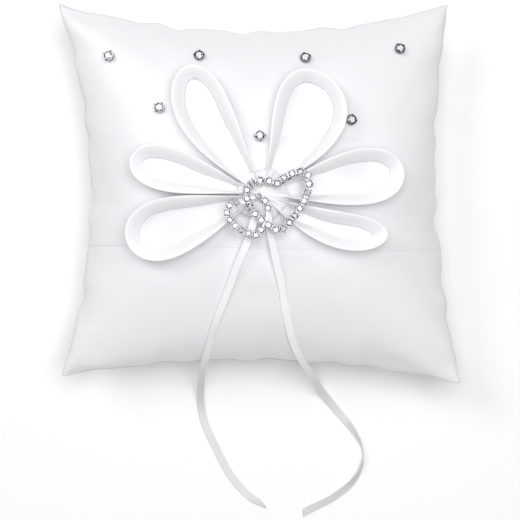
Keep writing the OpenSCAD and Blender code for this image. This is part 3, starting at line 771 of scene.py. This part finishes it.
stones = {
    "largeWidth": 0.015, "largeShape": (0.737, 0.81, 0.165), "largeTurn": 12.7,
    "largeMiddle": (0.0088, -0.0079), "largeCount": 22, "largeCup": 0.0038,
    "smallWidth": 0.0095, "smallShape": (0.865, 0.51, -0.06), "smallTurn": 17,
    "smallMiddle": (-0.0044, -0.0131), "smallCount": 16, "smallCup": 0.0034,
    # the facet tones here are painted reflection: dark outer and point facets, a light table
    "cupHeight": 0.0018, "facets": 8, "outerReflection": 0.22, "middleReflection": 0.5, "upperReflection": 0.5,
    "tableReflection": 0.66, "pointReflection": 0.1, "reflectionScatter": 0.45,
    "crystal": 0.0042, "crystalCup": 0.0049, "crystalCupHeight": 0.0019, "crystalSeat": 0.0003,
    "crystalRise": 0.0016, "heartStoneRise": 0.0013, "railWidth": 0.0014, "railHeight": 0.0006,
    "claws": 4, "turned": 24, "wallShare": 0.045, "clawWide": 0.16, "clawDeep": 0.08,
    # each ring of a stone: its radius and height as shares of the stone's radius
    "girdle": (1.0, 0.0), "shoulder": (0.8, 0.26), "table": (0.52, 0.42), "point": -0.6,
    "stoneShare": 0.9, "heartCupShare": 0.8, "heartSeeds": {"large": 51, "small": 71},
    "crystalSeed": 90, "gap": 0.0001, "railLift": {"large": 0.0003, "small": 0.00035},
}


def heartPlaces(key):
    # outline: x = W sin a + skew y, y = H (cos a + lift |sin a|), walked in equal steps
    tall, lift, skew = stones[key + "Shape"]
    width, turn = stones[key + "Width"], math.radians(stones[key + "Turn"])
    a = np.radians(np.arange(0, 361, 2))
    y = width * tall * (np.cos(a) + lift * np.abs(np.sin(a)))
    x = width * np.sin(a) + skew * y
    run = np.concatenate([[0], np.cumsum(np.hypot(np.diff(x), np.diff(y)))])
    even = run[-1] * np.arange(stones[key + "Count"]) / stones[key + "Count"]
    x, y = np.interp(even, run, x), np.interp(even, run, y)
    middle = stones[key + "Middle"]
    return np.stack([middle[0] + x * math.cos(turn) - y * math.sin(turn),
                     middle[1] + x * math.sin(turn) + y * math.cos(turn)], axis=1)


def cutStone(diameter):
    # girdle of 16, crown ring of 8 and table of 8 over a point: all flat facets
    k = stones["facets"]
    big = np.arange(2 * k) * math.pi / k
    small = (np.arange(k) + 0.5) * 2 * math.pi / k
    table = np.arange(k) * 2 * math.pi / k
    r = diameter / 2
    rings = [(big, *stones["girdle"]), (small, *stones["shoulder"]), (table, *stones["table"])]
    points = np.vstack([np.stack([r * s * np.cos(a), r * s * np.sin(a), np.full(len(a), r * h)], 1)
                        for a, s, h in rings] + [[[0, 0, stones["point"] * r]]])
    faces = []
    for i in range(k):
        g, n, c, t = 2 * i, (2 * i + 2) % (2 * k), 2 * k + i, 3 * k + i
        c0, t1 = 2 * k + (i - 1) % k, 3 * k + (i + 1) % k
        faces += [[g, g + 1, c], [g + 1, n, c], [c0, g, c], [c0, c, t], [c, t1, t]]
    faces += [[3 * k + i for i in range(k)]]
    faces += [[i, 4 * k, (i + 1) % (2 * k)][::-1] for i in range(2 * k)]
    # painted reflection: a tone for each facet by where it sits on the stone
    order = ["outerReflection", "outerReflection", "middleReflection", "upperReflection", "upperReflection"] * k \
        + ["tableReflection"] + ["pointReflection"] * (2 * k)
    tones = [stones[key] for key in order]
    return points, faces, np.array(tones)


def clawCup(diameter, height):
    # open cup as one turned profile, with small bent claws over its rim
    r, wall = diameter / 2, diameter * stones["wallShare"]
    claws, turned = stones["claws"], stones["turned"]
    profile = np.array([(0.2 * r, 0), (0.82 * r, 0), (r, 0.25 * height), (r, height),
                        (r - wall, height), (r - wall, 0.35 * height), (0.2 * r, 0.3 * height)])
    a = np.linspace(0, 2 * math.pi, turned, endpoint=False)
    ring = np.stack([profile[:, None, 0] * np.cos(a), profile[:, None, 0] * np.sin(a),
                     np.repeat(profile[:, None, 1], turned, axis=1)], axis=-1)
    rows = len(profile)
    points = [ring.reshape(-1, 3)]
    faces = [list(f) for f in gridFaces(rows, turned, True, True)[:, ::-1]]
    start = rows * turned
    line = np.array([(1.0, -0.5), (1.04, 0.1), (0.98, 0.5), (0.8, 0.72)])
    for i in range(claws):
        turn = 2 * math.pi * (i + 0.5) / claws
        wide, deep = stones["clawWide"] * r, stones["clawDeep"] * r
        cross = np.array([(-wide, -deep), (wide, -deep), (wide, deep), (-wide, deep)])
        radial = line[:, None, 0] * r + cross[None, :, 1]
        side = np.broadcast_to(cross[None, :, 0] * np.array([1, 1, 0.9, 0.55])[:, None], radial.shape)
        up = height + line[:, None, 1] * 0.5 * r + 0 * radial
        claw = np.stack([radial * math.cos(turn) - side * math.sin(turn),
                         radial * math.sin(turn) + side * math.cos(turn), up], axis=-1)
        points.append(claw.reshape(-1, 3))
        faces += [[int(c) + start for c in f] for f in gridFaces(4, 4, False, True)]
        faces += [[start + c for c in (3, 2, 1, 0)], [start + c for c in (12, 13, 14, 15)]]
        start += 16
    return np.vstack(points), faces


def manyOf(name, shape, places, axes, spins, material, slotName, nodes, tones=None, smooth=False):
    # copies of one small shape, each spun about its own upright axis and stood on its place
    base, faces, *faceTones = shape
    c, s = np.cos(spins)[:, None, None], np.sin(spins)[:, None, None]
    x = base[None, :, :1] * c - base[None, :, 1:2] * s
    y = base[None, :, :1] * s + base[None, :, 1:2] * c
    sideA = unit(np.cross((0, 1, 0), axes))
    sideB = np.cross(axes, sideA)
    points = places[:, None] + x * sideA[:, None] + y * sideB[:, None] \
        + base[None, :, 2:] * axes[:, None]
    allFaces = [[c + k * len(base) for c in f] for k in range(len(places)) for f in faces]
    piece = newPiece(name, points, allFaces, smooth=smooth)
    # painted reflection: each face gets its facet tone plus a random scatter
    if tones is not None:
        layer = piece.data.attributes.new("paintedFacetReflection", "FLOAT", "FACE")
        spread = stones["reflectionScatter"]
        scatter = np.random.default_rng(tones).uniform(-spread, spread, len(allFaces))
        layer.data.foreach_set("value", np.clip(np.tile(faceTones[0], len(places)) + scatter, 0, 1))
    return dress(piece, material, slotName, *nodes)


def heartPieces(key, places):
    # a claw cup and a stone on each place, each cup with its own spin
    low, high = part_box(key + "_heart_frame")
    base = high[2] - stones["cupHeight"]
    cup, seed = stones[key + "Cup"], stones["heartSeeds"][key]
    spots = np.column_stack([places, np.full(len(places), base)])
    up = np.tile((0.0, 0.0, 1.0), (len(places), 1))
    spins = np.random.default_rng(seed).uniform(0, 1.5, len(places))
    shell = clawCup(cup, stones["cupHeight"] * stones["heartCupShare"])
    manyOf(key + "HeartCups", shell, spots, up, spins,
           silverPlate, "silver_metal", [key + "_heart_frame"])
    tops = spots + (0, 0, stones["heartStoneRise"])
    manyOf(key + "HeartStones", cutStone(cup * stones["stoneShare"]), tops, up, spins + 0.3,
           glassCut, "rhinestone", [key + "_heart_stones"], tones=seed + 1)


def makeHearts():
    # both hearts; the small one leaves out the places under the large one; a flat rail under each
    large, small = heartPlaces("large"), heartPlaces("small")
    gap = np.linalg.norm(small[:, None] - large[None], axis=2).min(axis=1)
    kept = small[gap > (stones["largeCup"] + stones["smallCup"]) / 2 + stones["gap"]]
    heartPieces("large", large)
    heartPieces("small", kept)
    for key, ring in (("large", large), ("small", small)):
        low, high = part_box(key + "_heart_frame")
        closed = np.vstack([ring, ring[:1]])
        line = np.vstack([np.linspace(p, q, 7)[:-1] for p, q in zip(closed, closed[1:])])
        height = low[2] + stones["railLift"][key]
        path = np.column_stack([line, np.full(len(line), height)])
        along = unit(np.roll(path, -1, axis=0) - np.roll(path, 1, axis=0))
        side = np.cross(along, (0, 0, 1))
        wide, deep = stones["railWidth"] / 2, stones["railHeight"] / 2
        corner = np.array([(-wide, -deep), (wide, -deep), (wide, deep), (-wide, deep)])
        points = path[:, None] + side[:, None] * corner[None, :, :1] \
            + np.array((0, 0, 1.0)) * corner[None, :, 1:]
        faces = gridFaces(len(path), 4, True, True)[:, ::-1]
        rail = newPiece(key + "HeartRail", points, faces, smooth=False)
        dress(rail, silverPlate, "silver_metal")


def makeCrystals():
    # seven single stones in cups, seated on the face along its normal
    for k in range(1, 8):
        low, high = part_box("crystal_cup_%d" % k)
        centre = (np.array(low) + np.array(high)) / 2
        spot, normal = onFace(centre[0:1], centre[1:2])
        base = spot + normal * stones["crystalSeat"]
        spin = np.array([0.35 * k])
        cup = clawCup(stones["crystalCup"], stones["crystalCupHeight"])
        manyOf("crystalCup%d" % k, cup, base, normal, spin,
               silverPlate, "silver_metal", ["crystal_cup_%d" % k])
        top = base + normal * stones["crystalRise"]
        manyOf("crystal%d" % k, cutStone(stones["crystal"]), top, normal, spin + 0.4, glassCut,
               "rhinestone", ["crystal_%d" % k], tones=stones["crystalSeed"] + k)


makeHearts()
makeCrystals()
# the gather thread takes the same grey thread with its painted shade
for name, material in (("gather_thread", paintedShadeThread), ("brooch_shank", silverPlate)):
    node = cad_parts[name]
    node.data.materials.clear()
    node.data.materials.append(material)
print("hearts and crystals made")


def makeFloor():
    # plain pale table just under the object
    half = studio["floorSize"] / 2
    floor = newPiece("floor", [(-half, -half, -0.0001), (half, -half, -0.0001),
                               (half, half, -0.0001), (-half, half, -0.0001)], [(0, 1, 2, 3)])
    floor.data.materials.append(newMaterial("paleFloor", [studio["floorTone"]] * 3, 0.9)[0])


makeFloor()
